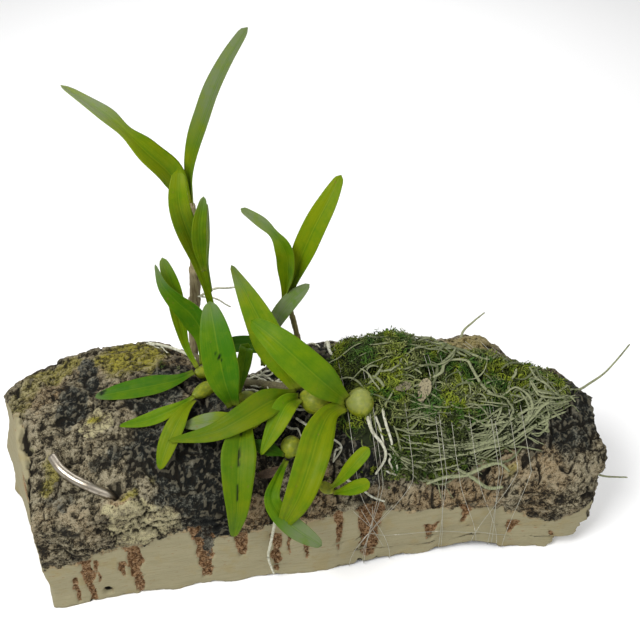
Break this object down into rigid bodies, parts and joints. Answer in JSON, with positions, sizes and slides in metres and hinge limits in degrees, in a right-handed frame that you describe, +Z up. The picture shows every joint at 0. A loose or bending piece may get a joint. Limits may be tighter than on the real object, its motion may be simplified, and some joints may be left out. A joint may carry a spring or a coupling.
{
  "type": "mounted orchid on cork bark",
  "caption": "Small creeping orchid with pseudobulbs and strap leaves, mounted on a slab of cork bark with a moss pad, a tie line and a wire hook.",
  "frame": {"origin": "under the middle of the slab, on its flat underside", "axes": "+Z up away from the underside, +X along the slab towards the moss end, the smooth cut face looks to -Y"},
  "size_m": [0.2182, 0.0844, 0.1624],
  "materials": {
    "bark": "rough cork bark with a smooth pale cut face",
    "moss": "living and dried moss",
    "strand": "dry flattened strands",
    "leaf": "waxy leaf",
    "leaf_dark": "waxy leaf",
    "bulb": "smooth waxy pseudobulb",
    "cane": "dry papery sheath",
    "root": "matt white root skin",
    "wire": "bright wire",
    "line": "clear nylon line"
  },
  "bodies": {
    "root": {"cork_slab": "bark", "wire_hook": "wire", "bulb_round": "bulb", "bulb_oval": "bulb", "bulb_front": "bulb", "bulb_left": "bulb", "bulb_neck": "bulb", "bulb_middle": "bulb", "bulb_behind": "bulb", "sheath_new_growth": "bulb", "cane_tall": "cane", "cane_right": "cane", "rhizome": "cane", "leaf_tall_upright": "leaf", "leaf_tall_left": "leaf", "leaf_tall_front": "leaf", "leaf_tall_small": "leaf", "leaf_tall_edge": "leaf", "leaf_back_thin": "leaf", "leaf_back_wide": "leaf", "leaf_front_broad": "leaf", "leaf_oval_back": "leaf", "leaf_round_back": "leaf", "leaf_round_front": "leaf", "leaf_oval_left": "leaf", "leaf_oval_front": "leaf", "leaf_hanging_middle": "leaf", "leaf_front_curled": "leaf", "leaf_dark_low": "leaf_dark", "leaf_left_flat": "leaf", "leaf_left_low": "leaf", "leaf_left_drooping": "leaf", "leaf_right_tall": "leaf", "leaf_right_folded": "leaf", "leaf_right_grey": "leaf_dark", "leaf_new_upper": "leaf", "leaf_new_lower": "leaf", "leaf_dark_behind": "leaf_dark", "leaf_pointing_down": "leaf", "leaf_pale_low": "leaf", "sheath_dry": "cane", "root_long": "root", "root_joining": "root", "root_under_bulbs": "root", "root_low": "root", "root_face": "root", "root_ridge": "root", "root_tangle": "root", "root_stub": "root", "root_thin_upper": "root", "tie_line": "line", "moss_pad": "moss", "moss_strands": "strand", "root_moss_upper": "strand", "root_moss_lower": "strand", "strand_end_upper": "strand", "strand_end_right": "strand", "strand_top": "strand"}
  },
  "joints": []
}
